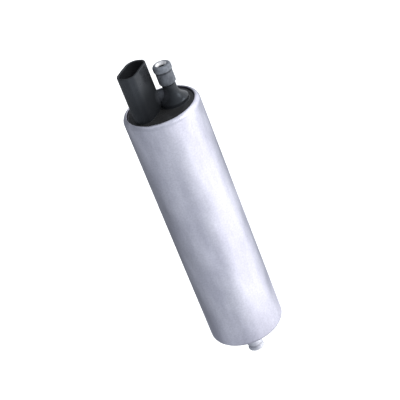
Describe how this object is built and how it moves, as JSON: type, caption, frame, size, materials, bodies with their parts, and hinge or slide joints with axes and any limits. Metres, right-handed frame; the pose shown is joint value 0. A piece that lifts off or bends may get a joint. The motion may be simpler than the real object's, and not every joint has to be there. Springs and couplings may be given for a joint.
{
  "type": "fuel pump",
  "caption": "Long in-line electric fuel pump: satin metal can with a black end cap, an oval connector shroud beside a metal outlet nipple, and a ridged inlet nipple at the foot.",
  "frame": {"origin": "on the can's axis at half the height of the can, where the clamp band grips it", "axes": "+Z along the can's axis towards the connector and outlet; +X from the axis towards the outlet nipple"},
  "size_m": [0.043, 0.043, 0.1979],
  "materials": {
    "satin_can": "satin, slightly uneven lustre",
    "black_moulding": "fine-grained black moulding",
    "plated_steel": "dull bright plating",
    "tinned_brass": "tinned",
    "cast_cover": "fine cast and machined",
    "ground_steel": "ground",
    "core_steel": "dark sheet steel",
    "ferrite": "matt dark grey",
    "copper": "copper",
    "carbon": "pressed carbon",
    "bronze": "sintered bronze",
    "sintered_steel": "sintered",
    "seal_rubber": "matt",
    "spring_steel": "drawn wire",
    "nylon": "moulded",
    "washer_fibre": "pressed fibre"
  },
  "bodies": {
    "housing": {"can": "satin_can", "end_cap": "black_moulding", "outlet_nipple": "plated_steel", "terminal_a": "tinned_brass", "terminal_b": "tinned_brass", "choke_a_core": "ferrite", "choke_b_core": "ferrite", "choke_a_coil": "copper", "choke_b_coil": "copper", "check_seat": "bronze", "check_spring": "spring_steel", "check_stop": "bronze", "cap_seal": "seal_rubber", "cover_seal": "seal_rubber", "brush_spring_a": "spring_steel", "brush_spring_b": "spring_steel", "brush_shunt_a": "copper", "brush_shunt_b": "copper", "top_bush": "bronze", "flux_ring": "core_steel", "magnet_a": "ferrite", "magnet_b": "ferrite", "magnet_clip_a": "spring_steel", "magnet_clip_b": "spring_steel", "top_washer": "washer_fibre", "lower_bush": "bronze", "lower_washer": "washer_fibre", "top_plate": "cast_cover", "eccentric_ring": "sintered_steel", "foot_plate": "cast_cover", "dowel_a": "ground_steel", "dowel_b": "ground_steel", "inlet_cover": "cast_cover", "relief_spring": "spring_steel", "strainer": "plated_steel"},
    "armature": {"shaft": "ground_steel", "armature_core": "core_steel", "windings": "copper", "commutator": "copper", "drive_coupling": "nylon", "inner_rotor": "sintered_steel"},
    "ring_rotor": {"outer_rotor": "sintered_steel"},
    "brush_left": {"brush_a": "carbon"},
    "brush_right": {"brush_b": "carbon"},
    "poppet": {"check_poppet": "nylon"},
    "ball": {"relief_ball": "ground_steel"}
  },
  "joints": [
    {"name": "armature_spin", "type": "hinge", "parent": "housing", "child": "armature", "pos_m": [0, 0, 0], "axis": [0, 0, 1], "continuous": true},
    {"name": "ring_rotor_spin", "type": "hinge", "parent": "housing", "child": "ring_rotor", "pos_m": [0.00135, 0, 0], "axis": [0, 0, 1], "continuous": true},
    {"name": "brush_a_slide", "type": "slide", "parent": "housing", "child": "brush_left", "axis": [0, 0, 1], "range_m": [0, 0.003], "stiffness_N_per_m": 200, "springref_m": -0.006, "deforming": ["brush_spring_a", "brush_shunt_a"]},
    {"name": "brush_b_slide", "type": "slide", "parent": "housing", "child": "brush_right", "axis": [0, 0, 1], "range_m": [0, 0.003], "stiffness_N_per_m": 200, "springref_m": -0.006, "deforming": ["brush_spring_b", "brush_shunt_b"]},
    {"name": "check_poppet_slide", "type": "slide", "parent": "housing", "child": "poppet", "axis": [0, 0, 1], "range_m": [0, 0.0018], "stiffness_N_per_m": 100, "springref_m": -0.004, "deforming": ["check_spring"]},
    {"name": "relief_ball_slide", "type": "slide", "parent": "housing", "child": "ball", "axis": [0, 0, -1], "range_m": [0, 0.0015], "stiffness_N_per_m": 1000, "springref_m": -0.0032, "deforming": ["relief_spring"]}
  ],
  "couplings": [
    {"joint": "ring_rotor_spin", "follows": "armature_spin", "ratio": 0.85714}
  ]
}
